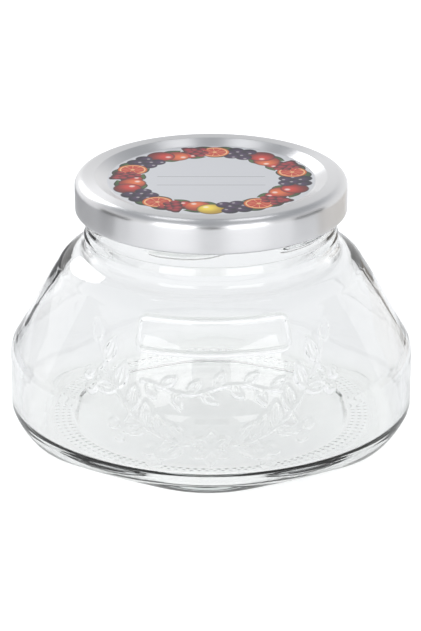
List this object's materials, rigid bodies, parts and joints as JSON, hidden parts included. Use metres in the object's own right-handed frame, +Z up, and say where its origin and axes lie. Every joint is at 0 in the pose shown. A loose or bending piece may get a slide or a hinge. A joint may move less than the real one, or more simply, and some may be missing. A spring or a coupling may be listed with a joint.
{
  "type": "jam pot",
  "caption": "Squat clear glass jam pot with a round belt over a soft-cornered foot, and a silver twist-off lid printed with a fruit garland.",
  "frame": {"origin": "centre of the bearing ring under the pot, on the surface that it stands on", "axes": "+Z up along the axis of the pot, its neck and its lid; -Y towards the viewer, at the front of the pot; +X to the viewer's right"},
  "size_m": [0.1286, 0.1286, 0.083],
  "materials": {
    "clear_glass": "polished",
    "printed_tin": "satin",
    "seal_compound": "matte"
  },
  "bodies": {
    "pot": {"glass_pot": "clear_glass"},
    "seal": {"sealing_ring": "seal_compound"},
    "lid": {"lid_shell": "printed_tin"}
  },
  "joints": [
    {"name": "lid_lift", "type": "slide", "parent": "pot", "child": "seal", "axis": [0, 0, 1], "range_m": [0, 0.04]},
    {"name": "lid_twist", "type": "hinge", "parent": "seal", "child": "lid", "pos_m": [0, 0, 0.0827], "axis": [0, 0, -1], "range_deg": [0, 36]}
  ]
}
